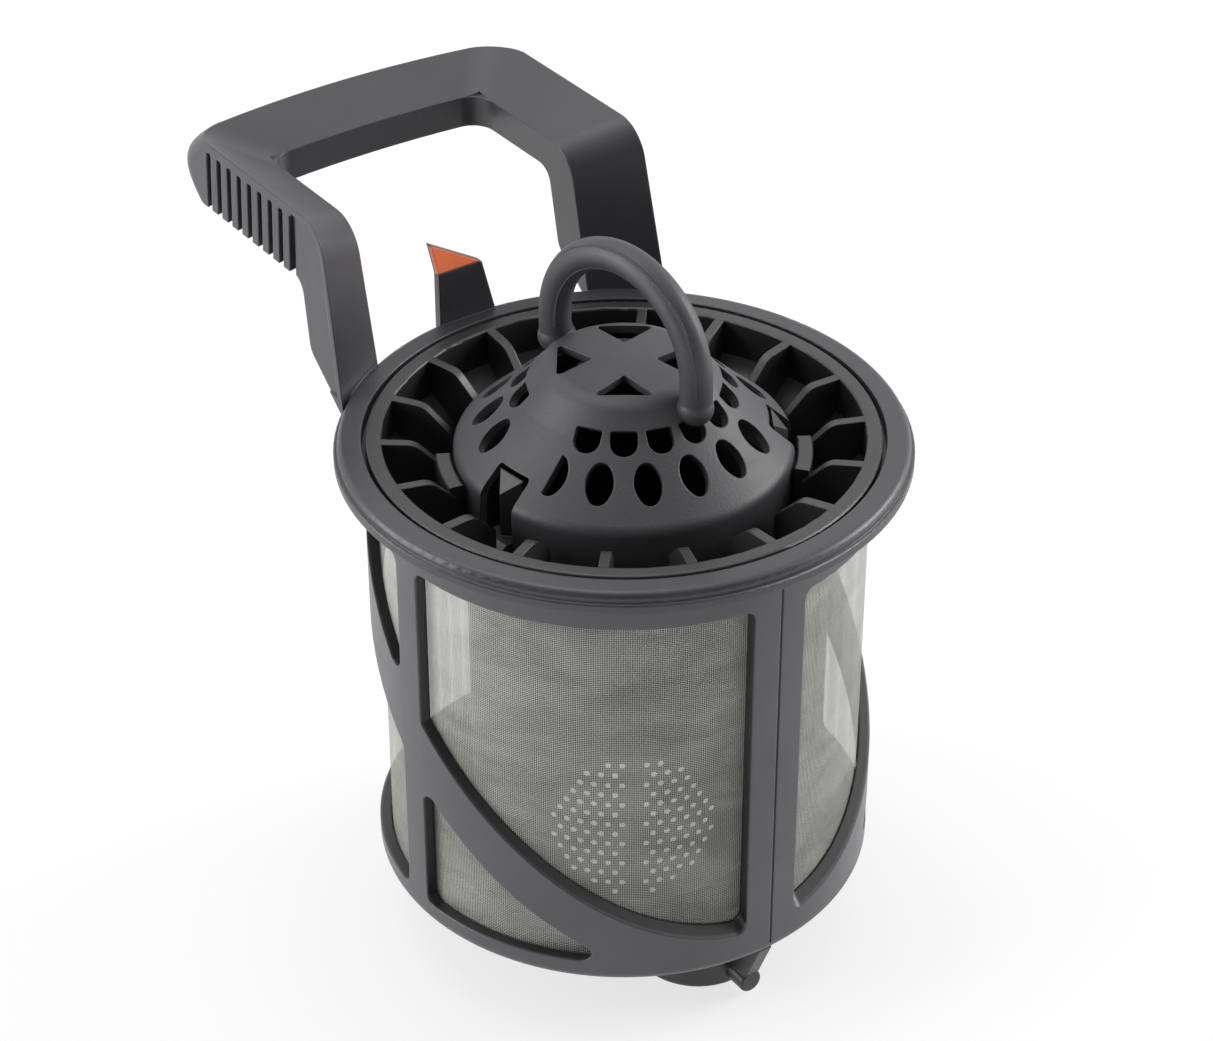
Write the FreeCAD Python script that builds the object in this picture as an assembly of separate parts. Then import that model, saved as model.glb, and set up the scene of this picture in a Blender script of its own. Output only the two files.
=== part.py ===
import FreeCAD, Part

import os
from math import asin, atan2, cos, degrees, hypot, pi, sin, sqrt, tan

from FreeCAD import Vector

# Frame: +Z up on the filter's axis, origin in the plane of the collar's underside,
# carrying handle towards +Y, foot and parting line towards -Y. Millimetres.
# Radii build up outwards from the inner cup; heights of the insert start at its seat.

# How far a feature's root reaches into the piece that carries it
root = 0.3

# Inner cup
cup_r = 30.4
cup_wall = 1.2
cup_height = 77.4
cup_floor = 1.5
cup_base_round = 2.0
cup_lip_thickness = 1.5
cup_lip_width = 2.2
patch_azimuth = -121.3
patch_rise = 19.1
patch_r = 16.6
hole_across = 1.15
hole_pitch = 2.75
hole_row_pitch = 2.4
patch_bar = 4.7

# Hub that the cup hangs in, its ribs and the ring that drops into the collar
cup_hub_gap = 0.4
hub_wall = 3.0
hub_drop = 11.6
hub_height = 4.0
hub_edge_round = 0.4
bay_width = 9.8
rib_count = 18
rib_thickness = 1.9
rib_level_run = 6.2
rib_knee_drop = 0.7
rib_fall_r = 4.0
rib_foot_inset = 1.6
rib_foot_drop = 3.4
rib_foot_r = 1.5
ring_skirt_wall = 0.8
ring_skirt_length = 5.5
ring_skirt_gap = 0.4
ring_lip_gap = 0.8
ring_edge_round = 0.5
pad_gap = 0.5
pad_height = 10.8
pad_bays = (-2, 8)

# Collar
ledge_width = 2.7
rim_width = 5.3
flange_height = 4.1
seat_depth = 2.5
bead_height = 2.1
bead_step = 0.7
flange_edge_round = 1.3
flange_chamfer = 0.4
spigot_wall = 1.2
spigot_length = 5.0
spigot_chamfer = 0.3
flash_groove_width = 0.4
flash_groove_depth = 0.4

# Carrying handle on the collar
handle_inner_x = 25.0
handle_width = 12.0
side_draft = 0.04
leg_setback = 1.4
leg_depth = 8.0
leg_lean = 0.21
leg_knee_z = 9.5
arm_top_z = 32.3
arm_top_rise = 5.5
arm_inner_depth = 6.5
arm_outer_depth = 14.1
shoulder_r = 8.0
underarm_r = 4.0
grip_reach = 33.0
grip_depth = 14.6
grip_bow_r = 230.0
grip_inner_corner_r = 5.0
mitre_round = 15.0
straight_arm = 8.0
border_width = 1.3
border_step = 0.4
groove_count = 9
groove_pitch = 3.98
groove_start = 2.4
groove_width = 1.7
groove_depth = 1.1
groove_top_margin = 1.9
groove_top_round = 0.6

# Rounding of the grip's outside, level by level: share of its height, inset, bow radius, corner radius
grip_levels = (
    (-0.05, 2.6, 250.0, 8.0),
    (0.2, 0.8, 500.0, 6.0),
    (0.52, 0.0, 600.0, 5.0),
    (0.8, 1.0, 300.0, 7.0),
    (1.05, 4.2, 150.0, 10.0),
)

# Indicator tab between the legs, with its marker
tab_left_x = -7.4
tab_right_x = 6.5
tab_taper = 3.8
tab_setback = 2.4
tab_thickness = 1.8
tab_shoulder_z = 15.6
tab_peak_rise = 5.4
tab_lean = 2.6
marker_low_margin = 0.3
marker_depth = 1.2

# Cage frame
cage_lap = 1.3
cage_wall = 2.3
cup_floor_gap = 1.0
floor_thickness = 2.0
top_band_height = 7.1
bottom_ring_height = 4.7
bottom_round = 2.2
wide_strut_width = 11.3
strut_width = 6.4
band_top_over = 5.9
band_top_end_rise = 6.7
band_under_drop = 14.8
band_under_end_drop = 2.2
window_corner_r = 2.2
parting_width = 0.5
parting_depth = 0.4

# Foot and bayonet peg under the floor
foot_offset = 25.9
foot_r = 13.4
foot_taper = 0.5
foot_height = 15.5
foot_wall = 2.0
foot_edge_round = 1.0
peg_r = 2.45
peg_length = 4.7
peg_rise = 3.5
peg_end_round = 0.5
gusset_width = 3.0
gusset_inset = 1.3
gusset_tip_past = 0.3
gusset_round = 0.8

# Mesh sleeve
mesh_thickness = 0.4
mesh_gap = 0.05

# Domed strainer; its heights start at the hub's top
dome_turn = -35.5
dome_lip_inset = 0.2
dome_wall = 1.6
dome_height = 30.0
dome_shoulder_share = 0.4506
dome_shoulder_rise = 29.4
dome_upper_share = 0.6173
dome_upper_rise = 23.5
dome_lower_share = 0.7932
dome_lower_rise = 18.2
dome_skirt_rise = 12.2
dome_shoulder_round = 5.0
dome_rim_round = 3.0
hole_step = 20.0
upper_hole_land = 1.88
upper_hole_height = 4.8
upper_hole_top_round = 0.5
upper_hole_azimuths = tuple(-110.0 + hole_step * k for k in range(16))
lower_hole_land = 3.67
lower_hole_height = 8.2
lower_hole_end_share = 0.36
lower_hole_azimuths = (-100.0, -80.0, -60.0, -40.0, -20.0, 20.0, 40.0, 60.0, 80.0, 140.0, 160.0, 180.0, 200.0)
half_hole_azimuth = -120.0
half_hole_cut = 0.4
half_hole_slant = 0.14
tip_window_apex_share = 0.46
tip_window_half_angle = 25.1
tip_window_land = 2.0
tip_window_round = 0.7

# Notches in the dome and the hub's clip hooks in them
clip_azimuths = (-137.3, 3.0, 113.0)
notch_width = 9.5
notch_taper = 0.6
notch_round = 0.8
notch_rise = 16.7
hook_width = 6.4
hook_thickness = 3.4
hook_tip_inset = 4.4
hook_tip_rise = 16.2
hook_head_rise = 13.0
hook_foot_rise = 4.0
hook_foot_thickness = 2.0
hook_lean_round = 1.0
hook_ridge_inset = 1.3

# Arch handle on the dome
arch_azimuth = -45.0
arch_share = 0.574
arch_leg_length = 5.1
arch_section = 6.2
arch_foot_r = 3.4
arch_foot_rise = 27.1

# Radii and heights that follow from the sizes above
cup_lip_r = cup_r + cup_lip_width
hub_bore_r = cup_r + cup_hub_gap
hub_step_r = cup_lip_r + cup_hub_gap
hub_outer_r = hub_step_r + hub_wall
ring_inner_r = hub_outer_r + bay_width
ring_skirt_r = ring_inner_r + ring_skirt_wall
bore_r = ring_skirt_r + ring_skirt_gap
seat_r = bore_r + ledge_width
flange_r = seat_r + rim_width
spigot_r = bore_r + spigot_wall
cage_r = spigot_r + cage_lap
cage_inner_r = cage_r - cage_wall
seat_z = flange_height - seat_depth
hub_top_z = seat_z - hub_drop
hub_bottom_z = hub_top_z - hub_height
cup_low_z = hub_top_z - cup_height
cage_floor_z = cup_low_z - cup_floor_gap
cage_low_z = cage_floor_z - floor_thickness
dome_rim_r = cup_lip_r - dome_lip_inset
dome_shoulder_r = dome_shoulder_share * dome_rim_r
dome_upper_r = dome_upper_share * dome_rim_r
dome_lower_r = dome_lower_share * dome_rim_r
upper_hole_width = dome_upper_r * hole_step * pi / 180 - upper_hole_land
lower_hole_width = dome_lower_r * hole_step * pi / 180 - lower_hole_land
handle_outer_x = handle_inner_x + handle_width
arm_outer_top_z = arm_top_z + arm_top_rise
arm_outer_under_z = arm_outer_top_z - arm_outer_depth
leg_front_r = flange_r - leg_setback
grip_inner_y = flange_r + grip_reach
grip_outer_y = grip_inner_y + grip_depth


def z_turned(shape, azimuth):
    turned = shape.copy()
    turned.rotate(Vector(0, 0, 0), Vector(0, 0, 1), azimuth)
    return turned


def fused(shapes):
    return shapes[0].multiFuse(shapes[1:]).removeSplitter()


def outline(corners, place):
    """Closed wire through (u, v, corner radius) points, set in space by place(u, v)."""
    edges = []
    joins = []
    for index, (u, v, radius) in enumerate(corners):
        before = corners[index - 1]
        after = corners[(index + 1) % len(corners)]
        joins.append(corner_join(before, (u, v), after, radius))
    for index, (start, middle, end) in enumerate(joins):
        if middle:
            edges.append(Part.Arc(place(*start), place(*middle), place(*end)).toShape())
        next_start = joins[(index + 1) % len(joins)][0]
        edges.append(Part.LineSegment(place(*end), place(*next_start)).toShape())
    return Part.Wire(edges)


def corner_join(before, corner, after, radius):
    """Start, middle and end of the rounded corner; middle is None where it is sharp."""
    if not radius:
        return corner, None, corner
    back = unit(before[0] - corner[0], before[1] - corner[1])
    ahead = unit(after[0] - corner[0], after[1] - corner[1])
    cross = back[0] * ahead[1] - back[1] * ahead[0]
    dot = back[0] * ahead[0] + back[1] * ahead[1]
    half_angle = 0.5 * abs(atan2(cross, dot))
    reach = radius / tan(half_angle)
    start = (corner[0] + reach * back[0], corner[1] + reach * back[1])
    end = (corner[0] + reach * ahead[0], corner[1] + reach * ahead[1])
    inward = unit(back[0] + ahead[0], back[1] + ahead[1])
    middle_reach = radius / sin(half_angle) - radius
    middle = (corner[0] + middle_reach * inward[0], corner[1] + middle_reach * inward[1])
    return start, middle, end


def unit(u, v):
    length = hypot(u, v)
    return u / length, v / length


def revolved(corners):
    """Solid of revolution about Z from (radius, z, corner radius) points."""
    wire = outline(corners, lambda r, z: Vector(r, 0, z))
    return Part.Face(wire).revolve(Vector(0, 0, 0), Vector(0, 0, 1), 360)


def ring(outer_r, inner_r, low_z, high_z):
    return revolved([(inner_r, low_z, 0), (outer_r, low_z, 0), (outer_r, high_z, 0), (inner_r, high_z, 0)])


def plate(corners, low_x, high_x):
    """Prism along X of a (y, z, corner radius) outline."""
    wire = outline(corners, lambda y, z: Vector(low_x, y, z))
    return Part.Face(wire).extrude(Vector(high_x - low_x, 0, 0))


def box(low, high):
    return Part.makeBox(high[0] - low[0], high[1] - low[1], high[2] - low[2], Vector(*low))


# Collar

def flange():
    bead_r = flange_r - bead_step
    groove_inner_r = cage_r - 0.5 * flash_groove_width
    groove_outer_r = groove_inner_r + flash_groove_width
    return revolved([
        (bore_r, -spigot_length, 0),
        (spigot_r, -spigot_length, spigot_chamfer),
        (spigot_r, 0, 0),
        (groove_inner_r, 0, 0),
        (groove_inner_r, flash_groove_depth, 0),
        (groove_outer_r, flash_groove_depth, 0),
        (groove_outer_r, 0, 0),
        (flange_r - flange_chamfer, 0, 0),
        (flange_r, flange_chamfer, 0),
        (flange_r, bead_height, spigot_chamfer),
        (bead_r, bead_height, 0),
        (bead_r, flange_height, flange_edge_round),
        (seat_r, flange_height, 0),
        (seat_r, seat_z, 0),
        (bore_r, seat_z, 0),
    ])


def drafted_x(z):
    """Outer side of an arm and its leg, which spreads a little towards the foot."""
    return handle_outer_x + side_draft * (arm_outer_top_z - z)


def handle_side(x, top_z, under_z, place):
    """Side view of one leg and arm at a distance x from the middle, as a wire."""
    front_y = sqrt(leg_front_r ** 2 - x ** 2)
    back_y = sqrt((leg_front_r + leg_depth) ** 2 - x ** 2)
    rim_y = sqrt((flange_r - bead_step - flange_chamfer) ** 2 - x ** 2)
    arm_end_y = grip_outer_y - grip_bow_r + sqrt(grip_bow_r ** 2 - handle_outer_x ** 2)
    corners = [
        (front_y, 0.35 * flange_height, 0),
        (front_y + leg_lean * top_z, top_z, shoulder_r),
        (arm_end_y, top_z, 0),
        (arm_end_y, under_z, 0),
        (back_y + leg_lean * under_z, under_z, underarm_r),
        (back_y + leg_lean * leg_knee_z, leg_knee_z, underarm_r),
        (rim_y, 0.15 * flange_height, 0),
    ]
    return outline(corners, place)


def handle_arm():
    inner = handle_side(handle_inner_x, arm_top_z, arm_top_z - arm_inner_depth,
                        lambda y, z: Vector(handle_inner_x, y, z))
    outer = handle_side(handle_outer_x, arm_outer_top_z, arm_outer_under_z,
                        lambda y, z: Vector(drafted_x(z), y, z))
    return Part.makeLoft([inner, outer], True, True)


def leg_border():
    """Layer off the outer side of leg and arm that leaves a raised border along their edge."""
    front_y = sqrt(leg_front_r ** 2 - handle_outer_x ** 2) + border_width
    top_z = arm_outer_top_z - border_width
    start_y = flange_r + groove_start
    wire = outline([
        (front_y + leg_lean * flange_height, flange_height, 0),
        (front_y + leg_lean * top_z, top_z, shoulder_r - border_width),
        (start_y, top_z, 0),
        (start_y, arm_outer_under_z - arm_outer_depth, 0),
        (start_y + leg_depth, flange_height, 0),
    ], lambda y, z: Vector(drafted_x(z) - border_step, y, z))
    return Part.Face(wire).extrude(Vector(2 * border_step, 0, 0))


def grip_bar():
    section = outline([
        (grip_inner_y, arm_top_z - arm_inner_depth, 0),
        (grip_inner_y, arm_top_z, 0),
        (grip_outer_y, arm_outer_top_z, 0),
        (grip_outer_y, arm_outer_under_z, 0),
    ], lambda y, z: Vector(0, y, z))
    bow_axis = Vector(0, grip_outer_y - grip_bow_r, 0)
    swing = degrees(asin(handle_outer_x / (grip_bow_r - grip_depth)))
    section.rotate(bow_axis, Vector(0, 0, 1), -swing)
    return Part.Face(section).revolve(bow_axis, Vector(0, 0, 1), 2 * swing)


def grip_plan(share, inset, bow_r, corner_r):
    """Plan of the handle's outside at one height: straight arms, round corners, bowed grip."""
    z = arm_outer_under_z + share * arm_outer_depth
    half = drafted_x(z) + 0.05
    bow_y = grip_outer_y - inset - bow_r
    corner_x = half - corner_r
    corner_y = bow_y + sqrt((bow_r - corner_r) ** 2 - corner_x ** 2)
    lean = atan2(corner_x, corner_y - bow_y)
    turn = 0.5 * (lean + pi / 2)
    right = [
        Vector(half, leg_front_r, z),
        Vector(half, corner_y, z),
        Vector(corner_x + corner_r * sin(turn), corner_y + corner_r * cos(turn), z),
        Vector(bow_r * sin(lean), bow_y + bow_r * cos(lean), z),
    ]
    left = [Vector(-p.x, p.y, p.z) for p in right]
    return Part.Wire([
        Part.LineSegment(left[0], right[0]).toShape(),
        Part.LineSegment(right[0], right[1]).toShape(),
        Part.Arc(right[1], right[2], right[3]).toShape(),
        Part.Arc(right[3], Vector(0, bow_y + bow_r, z), left[3]).toShape(),
        Part.Arc(left[3], left[2], left[1]).toShape(),
        Part.LineSegment(left[1], left[0]).toShape(),
    ])


def grip_envelope():
    """Space that the rounded grip keeps to, with the legs' side left free."""
    pillow = Part.makeLoft([grip_plan(*level) for level in grip_levels], True, False)
    reach = 2 * handle_outer_x
    legs = box((-reach, 0, 0), (reach, leg_front_r + leg_depth + straight_arm, 2 * arm_outer_top_z))
    return pillow.fuse(legs)


def grip_grooves():
    """Upright grooves across the outer face of one arm."""
    top_z = arm_outer_top_z - groove_top_margin
    half = 0.5 * groove_width
    grooves = []
    for index in range(groove_count):
        middle_y = flange_r + groove_start + index * groove_pitch
        grooves.append(plate([
            (middle_y - half, 0, 0),
            (middle_y + half, 0, 0),
            (middle_y + half, top_z, groove_top_round),
            (middle_y - half, top_z, groove_top_round),
        ], handle_outer_x - groove_depth, handle_outer_x + handle_width))
    return grooves


def mirrored(shape):
    return shape.mirror(Vector(0, 0, 0), Vector(1, 0, 0))


def mitre_edges(loop):
    """Creases where the arms' tops turn into the grip's top."""
    found = []
    for edge in loop.Edges:
        if len(edge.Vertexes) != 2:
            continue
        near, far = sorted((v.Point for v in edge.Vertexes), key=lambda p: p.y)
        at_corner = abs(near.z - arm_top_z) < 0.01 and abs(abs(near.x) - handle_inner_x) < 0.01
        if at_corner and far.y - near.y > 0.5 * grip_depth and abs(far.x - near.x) > 0.5 * handle_width:
            found.append(edge)
    return found


def inner_corner():
    """Block that rounds the corner between one arm's inner side and the bowed grip."""
    bow_y = grip_outer_y - grip_bow_r
    centre_x = handle_inner_x - grip_inner_corner_r
    centre_y = bow_y + sqrt((grip_bow_r - grip_depth - grip_inner_corner_r) ** 2 - centre_x ** 2)
    lean = atan2(centre_x, centre_y - bow_y)
    low_z = arm_top_z - arm_inner_depth

    def on_round(turn):
        along_x = centre_x + grip_inner_corner_r * sin(turn)
        return Vector(along_x, centre_y + grip_inner_corner_r * cos(turn), low_z)

    side = on_round(pi / 2)
    front = on_round(lean)
    buried = Vector(handle_inner_x + root, front.y + 3 * root, low_z)
    wire = Part.Wire([
        Part.Arc(side, on_round(0.5 * (lean + pi / 2)), front).toShape(),
        Part.LineSegment(front, Vector(front.x, buried.y, low_z)).toShape(),
        Part.LineSegment(Vector(front.x, buried.y, low_z), buried).toShape(),
        Part.LineSegment(buried, Vector(buried.x, side.y, low_z)).toShape(),
        Part.LineSegment(Vector(buried.x, side.y, low_z), side).toShape(),
    ])
    return Part.Face(wire).extrude(Vector(0, 0, arm_inner_depth))


def handle():
    arm = handle_arm()
    loop = fused([arm, mirrored(arm), grip_bar()]).common(grip_envelope())
    loop = loop.makeFillet(mitre_round, mitre_edges(loop))
    block = inner_corner()
    loop = fused([loop, block, mirrored(block)])
    side_cuts = [leg_border()] + grip_grooves()
    return loop.cut(side_cuts + [mirrored(cut) for cut in side_cuts])


def tab_post():
    """Upright tab whose upper part leans back below a sloping ridge."""
    root_z = 0.15 * flange_height
    front_y = flange_r - tab_setback
    back_y = front_y + tab_thickness
    peak_z = tab_shoulder_z + tab_peak_rise
    bent = plate([
        (front_y, root_z, 0),
        (front_y, tab_shoulder_z, 0),
        (front_y + tab_lean, peak_z, 0),
        (back_y + tab_lean, peak_z, 0),
        (back_y, tab_shoulder_z, 0),
        (back_y, root_z, 0),
    ], tab_left_x, tab_right_x)
    front_view = outline([
        (tab_left_x, root_z, 0),
        (tab_right_x, root_z, 0),
        (tab_right_x - tab_taper, tab_shoulder_z, 0),
        (tab_left_x, peak_z, 0),
    ], lambda x, z: Vector(x, 0, z))
    return bent.common(Part.Face(front_view).extrude(Vector(0, 2 * flange_r, 0)))


def lock_marker():
    """Triangular marker let into the whole leaning face of the tab."""
    slope_length = hypot(tab_peak_rise, tab_lean)
    up = Vector(0, tab_lean / slope_length, tab_peak_rise / slope_length)
    inward = Vector(0, tab_peak_rise / slope_length, -tab_lean / slope_length)
    corner = Vector(tab_left_x, flange_r - tab_setback, tab_shoulder_z)
    far = (tab_right_x - tab_taper - tab_left_x) * (1 - marker_low_margin / slope_length)
    wire = outline([(0, marker_low_margin, 0), (far, marker_low_margin, 0), (0, slope_length, 0)],
                   lambda u, v: corner + Vector(u, 0, 0) + up * v)
    return Part.Face(wire).extrude(inward * marker_depth)


def collar():
    body = fused([flange(), handle(), tab_post()])
    well = Part.makeCylinder(seat_r, arm_outer_top_z, Vector(0, 0, seat_z))
    return body.cut([well, lock_marker()])


# Cage

def cage_shell():
    """Closed-bottom tube that the windows are cut from."""
    return revolved([
        (0, cage_low_z, 0),
        (cage_r, cage_low_z, bottom_round),
        (cage_r, 0, 0),
        (spigot_r, 0, 0),
        (spigot_r, -spigot_length, 0),
        (cage_inner_r, -spigot_length, 0),
        (cage_inner_r, cage_floor_z, 0),
        (0, cage_floor_z, 0),
    ])


def strut_bars():
    """Uprights in four directions, the one with the parting line wider than the rest."""
    reach = 2 * cage_r
    inner = 0.5 * cage_r
    narrow = 0.5 * strut_width
    wide = 0.5 * wide_strut_width
    low_z = cage_low_z - root
    return [
        box((-wide, -reach, low_z), (wide, -inner, root)),
        box((-narrow, inner, low_z), (narrow, reach, root)),
        box((-reach, -narrow, low_z), (-inner, narrow, root)),
        box((inner, -narrow, low_z), (reach, narrow, root)),
    ]


def inclined_band():
    """Slab between two sloping planes, high at the handle side and low at the foot side."""
    reach = 2 * cage_r

    def at(y, handle_z, foot_z):
        return (y, foot_z + (handle_z - foot_z) * (y + cage_r) / (2 * cage_r), 0)

    under = (-band_under_drop, cage_low_z - band_under_end_drop)
    top = (band_top_over, cage_low_z + band_top_end_rise)
    return plate([at(-reach, *under), at(reach, *under), at(reach, *top), at(-reach, *top)], -reach, reach)


def window_corners(frame):
    """Short edges across the wall where a window's sides meet."""
    found = []
    for edge in frame.Edges:
        if edge.Curve.TypeId != "Part::GeomLine" or len(edge.Vertexes) != 2:
            continue
        radii = sorted(hypot(v.X, v.Y) for v in edge.Vertexes)
        heights = [v.Z for v in edge.Vertexes]
        in_wall = abs(radii[0] - cage_inner_r) < 0.01 and abs(radii[1] - cage_r) < 0.01
        if in_wall and cage_low_z + root < min(heights) and max(heights) < -root:
            found.append(edge)
    return found


def foot():
    """Hollow eccentric boss under the floor."""
    low_z = cage_low_z - foot_height
    shell = revolved([
        (0, low_z, 0),
        (foot_r - foot_taper, low_z, foot_edge_round),
        (foot_r, cage_low_z, 0),
        (foot_r, cage_floor_z - root, 0),
        (foot_r - foot_wall, cage_floor_z - root, 0),
        (foot_r - foot_wall - foot_taper, low_z + foot_wall, 0),
        (0, low_z + foot_wall, 0),
    ])
    return shell.translated(Vector(0, -foot_offset, 0))


def foot_hollow():
    low_z = cage_low_z - root
    return Part.makeCylinder(foot_r - foot_wall, cage_floor_z + root - low_z, Vector(0, -foot_offset, low_z))


peg_z = cage_low_z - foot_height + peg_rise
peg_root_y = foot_offset + foot_r - foot_wall
peg_end_y = foot_offset + foot_r + peg_length


def peg():
    body = Part.makeCylinder(peg_r, peg_end_y - peg_root_y, Vector(0, -peg_root_y, peg_z), Vector(0, -1, 0))
    end_edges = [e for e in body.Edges
                 if abs(e.BoundBox.YMin + peg_end_y) < 1e-6 and e.BoundBox.YLength < 1e-6]
    return body.makeFillet(peg_end_round, end_edges)


def gusset():
    """Web from the floor's edge down to the peg."""
    reach_y = cage_r - gusset_inset
    tip_y = peg_end_y + gusset_tip_past
    top_z = cage_floor_z - 0.5 * floor_thickness
    return plate([
        (-peg_root_y, peg_z, 0),
        (-tip_y + peg_r, peg_z, 0),
        (-tip_y, peg_z + peg_r, 0),
        (-reach_y, cage_low_z - root, gusset_round),
        (-reach_y + bottom_round, top_z, 0),
        (-peg_root_y, top_z, 0),
    ], -0.5 * gusset_width, 0.5 * gusset_width)


def parting_line():
    half = 0.5 * parting_width
    return box((-half, -2 * cage_r, cage_low_z + bottom_round), (half, parting_depth - cage_r, -root))


def cage_frame():
    reach = 2 * cage_r
    top_band = box((-reach, -reach, -top_band_height), (reach, reach, root))
    bottom_band = box((-reach, -reach, cage_low_z - root), (reach, reach, cage_low_z + bottom_ring_height))
    keep = fused([top_band, bottom_band, inclined_band()] + strut_bars())
    lattice = cage_shell().common(keep).removeSplitter()
    lattice = lattice.makeFillet(window_corner_r, window_corners(lattice))
    body = lattice.cut([parting_line(), foot_hollow()])
    return fused([body, foot(), gusset(), peg()])


def mesh_sleeve():
    outer_r = cage_inner_r - mesh_gap
    return ring(outer_r, outer_r - mesh_thickness, cage_floor_z, -spigot_length)


# Insert

def drop_ring():
    lip_r = seat_r - ring_lip_gap
    skirt_low_z = seat_z - ring_skirt_length
    return revolved([
        (ring_inner_r, skirt_low_z, 0),
        (ring_skirt_r, skirt_low_z, 0),
        (ring_skirt_r, seat_z, 0),
        (lip_r, seat_z, 0),
        (lip_r, flange_height, ring_edge_round),
        (ring_inner_r, flange_height, ring_edge_round),
    ])


def rib():
    """One rib: level near the ring, then curving down to the hub."""
    half = 0.5 * rib_thickness
    end_r = hub_outer_r - rib_foot_inset
    root_r = ring_inner_r + root
    wire = outline([
        (root_r, flange_height - 0.5 * root, 0),
        (ring_inner_r - rib_level_run, flange_height - rib_knee_drop, rib_fall_r),
        (end_r, seat_z - rib_foot_drop, rib_foot_r),
        (end_r, hub_top_z - root, 0),
        (hub_outer_r, hub_bottom_z + hub_edge_round, 0),
        (root_r, seat_z - ring_skirt_length + root, 0),
    ], lambda r, z: Vector(r, -half, z))
    return Part.Face(wire).extrude(Vector(0, rib_thickness, 0))


def hub():
    """Ring low between the ribs, stepped to carry the cup's lip."""
    step_z = hub_top_z - cup_lip_thickness
    return revolved([
        (hub_bore_r, hub_bottom_z, 0),
        (hub_outer_r, hub_bottom_z, hub_edge_round),
        (hub_outer_r, hub_top_z, hub_edge_round),
        (hub_step_r, hub_top_z, 0),
        (hub_step_r, step_z, 0),
        (hub_bore_r, step_z, 0),
    ])


def pad(bay):
    """Raised block on the hub filling one bay between two ribs."""
    bay_angle = 360.0 / rib_count
    inner_r = dome_rim_r + pad_gap
    outer_r = hub_outer_r - 0.5 * root
    section = outline([
        (hub_step_r, hub_top_z - root, 0),
        (outer_r, hub_top_z - root, 0),
        (outer_r, hub_top_z + pad_height, hub_edge_round),
        (inner_r, hub_top_z + pad_height, hub_edge_round),
    ], lambda r, z: Vector(r, 0, z))
    block = Part.Face(section).revolve(Vector(0, 0, 0), Vector(0, 0, 1), bay_angle)
    return z_turned(block, bay_angle * (bay - 0.5))


def clip_hook(azimuth):
    """Tongue that rises from the hub and hooks over the dome's slope inside a notch."""
    half = 0.5 * hook_width
    tip_r = dome_rim_r - hook_tip_inset
    foot_z = hub_top_z + hook_foot_rise
    foot_r_out = hub_outer_r - root
    wire = outline([
        (foot_r_out, hub_top_z - root, 0),
        (foot_r_out, foot_z - hook_foot_thickness, 0),
        (dome_rim_r, foot_z, 0),
        (dome_rim_r, hub_top_z + dome_skirt_rise - root, hook_lean_round),
        (tip_r, hub_top_z + hook_tip_rise, 0),
        (tip_r, hub_top_z + hook_head_rise, 0),
        (dome_rim_r - hook_thickness, hub_top_z + hook_head_rise - hook_lean_round, 0),
        (dome_rim_r - hook_thickness, hub_top_z + root, 0),
        (hub_step_r, hub_top_z + root, 0),
        (hub_step_r, hub_top_z - root, 0),
    ], lambda r, z: Vector(r, -half, z))
    tongue = Part.Face(wire).extrude(Vector(0, hook_width, 0))
    ridge_r = dome_rim_r - hook_ridge_inset
    flanks = []
    for side in (-1, 1):
        corners = [
            (tip_r, side * half, 0),
            (ridge_r, 0, 0),
            (ridge_r + half, 0, 0),
            (ridge_r + half, side * hook_width, 0),
        ]
        wire = outline(corners, lambda r, y: Vector(r, y, foot_z))
        flanks.append(Part.Face(wire).extrude(Vector(0, 0, hook_tip_rise)))
    return z_turned(tongue.cut(flanks), dome_turn + azimuth)


def rib_ring():
    pieces = [drop_ring(), hub()]
    step = 360.0 / rib_count
    single = rib()
    for index in range(rib_count):
        pieces.append(z_turned(single, step * (index + 0.5)))
    for bay in pad_bays:
        pieces.append(pad(bay))
    for azimuth in clip_azimuths:
        pieces.append(clip_hook(azimuth))
    return fused(pieces)


def patch_places():
    """(sideways, z) of each hole: two hexagonal halves beside a plain upright bar."""
    rows = int(patch_r / hole_row_pitch) + 1
    columns = int(patch_r / hole_pitch) + 1
    for row in range(-rows, rows + 1):
        drop = (row + 0.5) * hole_row_pitch
        shift = 0.5 * patch_bar + 0.5 * hole_pitch * (row % 2)
        for column in range(columns):
            side = shift + column * hole_pitch
            if hypot(side, drop) <= patch_r:
                yield side, drop
                yield -side, drop


def patch_holes():
    """Six-sided drillings square to the cup's wall."""
    corner_r = 0.5 * hole_across / cos(pi / 6)
    corners = [(corner_r * cos(k * pi / 3), corner_r * sin(k * pi / 3), 0) for k in range(6)]
    wire = outline(corners, lambda u, v: Vector(cup_r - 2 * cup_wall, u, v))
    drill = Part.Face(wire).extrude(Vector(3 * cup_wall, 0, 0))
    holes = []
    for side, drop in patch_places():
        hole = drill.translated(Vector(0, 0, cup_low_z + patch_rise + drop))
        holes.append(z_turned(hole, patch_azimuth + degrees(side / cup_r)))
    return holes


def inner_cup():
    lip_z = hub_top_z - cup_lip_thickness
    body = revolved([
        (0, cup_low_z, 0),
        (cup_r, cup_low_z, cup_base_round),
        (cup_r, lip_z, 0),
        (cup_lip_r, lip_z, 0),
        (cup_lip_r, hub_top_z, 0),
        (cup_r - cup_wall, hub_top_z, 0),
        (cup_r - cup_wall, cup_low_z + cup_floor, 0.5 * cup_base_round),
        (0, cup_low_z + cup_floor, 0),
    ])
    return body.cut(patch_holes())


# Dome

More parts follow.
